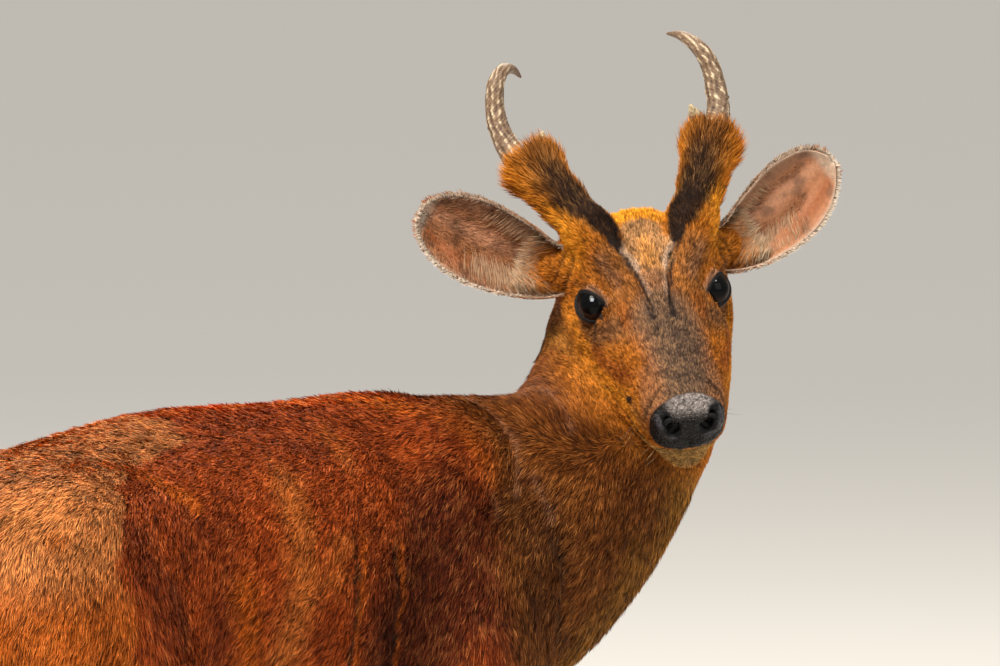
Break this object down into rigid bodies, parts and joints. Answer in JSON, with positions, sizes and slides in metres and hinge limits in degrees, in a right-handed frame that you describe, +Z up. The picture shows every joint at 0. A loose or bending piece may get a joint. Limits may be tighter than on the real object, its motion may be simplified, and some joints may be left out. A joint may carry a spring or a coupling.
{
  "type": "muntjac",
  "caption": "Life-size still model of a male muntjac deer, standing and looking back over its right shoulder, with short antlers on hairy pedicels.",
  "frame": {"origin": "on the floor, below the middle of the whole animal's box", "axes": "+X the way the body faces, +Y the animal's left, +Z up; the hooves stand on z = 0"},
  "size_m": [0.8548, 0.3062, 0.7805],
  "materials": {
    "coat": "short glossy fur, chestnut on the back, orange on the head, cream below",
    "ear": "thin skin, bare and pinkish grey inside with pale hairs, orange fur outside",
    "eye": "very dark brown, wet",
    "antler": "bone, grey brown with paler ridges and polished tips",
    "hoof": "dark horn, smooth, scuffed at the rim"
  },
  "bodies": {
    "root": {"antler_beam_left": "antler", "antler_beam_right": "antler", "antler_tine_left": "antler", "antler_tine_right": "antler", "dewclaw_fore_left_inner": "hoof", "dewclaw_fore_left_outer": "hoof", "dewclaw_fore_right_inner": "hoof", "dewclaw_fore_right_outer": "hoof", "dewclaw_hind_left_inner": "hoof", "dewclaw_hind_left_outer": "hoof", "dewclaw_hind_right_inner": "hoof", "dewclaw_hind_right_outer": "hoof", "ear_left": "ear", "ear_right": "ear", "eye_left": "eye", "eye_right": "eye", "fore_leg_left": "coat", "fore_leg_right": "coat", "head": "coat", "hind_leg_left": "coat", "hind_leg_right": "coat", "hoof_fore_left_inner": "hoof", "hoof_fore_left_outer": "hoof", "hoof_fore_right_inner": "hoof", "hoof_fore_right_outer": "hoof", "hoof_hind_left_inner": "hoof", "hoof_hind_left_outer": "hoof", "hoof_hind_right_inner": "hoof", "hoof_hind_right_outer": "hoof", "neck": "coat", "pedicel_left": "coat", "pedicel_right": "coat", "tail": "coat", "torso": "coat"}
  },
  "joints": []
}
